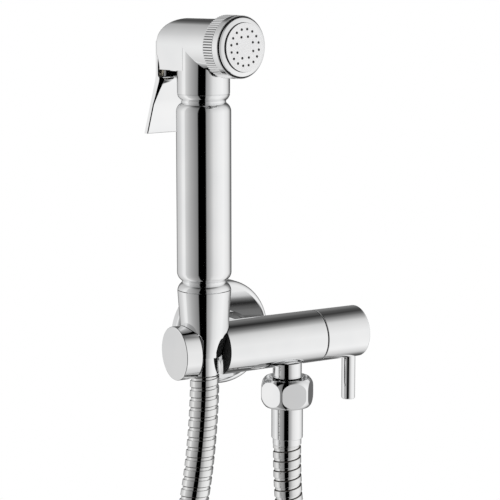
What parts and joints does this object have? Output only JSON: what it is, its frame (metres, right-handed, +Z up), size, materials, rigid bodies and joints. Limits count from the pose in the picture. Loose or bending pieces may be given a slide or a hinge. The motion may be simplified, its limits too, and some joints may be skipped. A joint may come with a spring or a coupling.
{
  "type": "douche kit",
  "caption": "Hand-held trigger bidet spray standing in the holder of a quarter-turn wall valve, joined by a ribbed hose.",
  "frame": {"origin": "centre of the wall inlet on the wall's face", "axes": "+X right along the valve bar, +Y into the wall along the inlet, +Z up along the handset"},
  "size_m": [0.1904, 0.0842, 0.6043],
  "materials": {
    "polished_chrome": "mirror polished chrome plate",
    "hose_steel": "polished double-lock stainless steel strip",
    "satin_face": "satin chrome",
    "brass": "turned brass",
    "black_rubber": "matt",
    "steel": "stainless steel",
    "ceramic": "lapped alumina ceramic"
  },
  "bodies": {
    "valve": {"valve_body": "polished_chrome", "wall_inlet": "polished_chrome", "inlet_seal": "black_rubber", "wall_flange": "polished_chrome", "flange_gasket": "black_rubber", "headwork_housing": "brass", "headwork_seal": "black_rubber", "seat_seal": "black_rubber", "fixed_ceramic_disc": "ceramic", "hose_outlet": "polished_chrome", "union_nut": "polished_chrome", "outlet_washer": "black_rubber", "outlet_hose_tail": "brass", "outlet_sleeve": "polished_chrome", "hose": "hose_steel"},
    "knob": {"valve_knob": "polished_chrome", "lever_pin": "polished_chrome", "set_screw": "steel", "spindle": "brass", "spindle_seal": "black_rubber", "turning_ceramic_disc": "ceramic"},
    "hose_end": {"handset_hose_tail": "brass", "handset_sleeve": "polished_chrome"},
    "handset": {"handle": "polished_chrome", "spray_head": "polished_chrome", "cone_nut": "polished_chrome", "handset_washer": "black_rubber", "spigot_seal": "black_rubber", "trigger_pin": "steel", "valve_seat": "brass", "gland_nut": "brass", "gland_seal": "black_rubber", "return_spring": "steel", "spray_bezel": "polished_chrome", "front_ring": "polished_chrome", "face_seal": "black_rubber", "faceplate": "satin_face"},
    "trigger": {"trigger": "polished_chrome"},
    "plunger": {"plunger": "brass", "plunger_seal": "black_rubber"}
  },
  "joints": [
    {"name": "knob_turn", "type": "hinge", "parent": "valve", "child": "knob", "pos_m": [0.0483, -0.0365, 0], "axis": [-1, 0, 0], "range_deg": [0, 90]},
    {"name": "handset_lift", "type": "slide", "parent": "valve", "child": "hose_end", "axis": [0, 0, 1], "range_m": [0, 0.04]},
    {"name": "handset_swivel", "type": "hinge", "parent": "hose_end", "child": "handset", "pos_m": [-0.028, -0.0365, 0], "axis": [0, 0, 1], "continuous": true},
    {"name": "trigger_squeeze", "type": "hinge", "parent": "handset", "child": "trigger", "pos_m": [-0.03104, -0.01927, 0.1446], "axis": [-0.9848, -0.1736, 0], "range_deg": [0, 10], "stiffness_Nm_per_rad": 1.2, "springref_deg": -8.59},
    {"name": "plunger_travel", "type": "slide", "parent": "handset", "child": "plunger", "axis": [0.1736, -0.9848, 0], "range_m": [0, 0.0024], "deforming": ["return_spring"]}
  ],
  "couplings": [
    {"joint": "plunger_travel", "follows": "trigger_squeeze", "m_per_rad": 0.013}
  ]
}
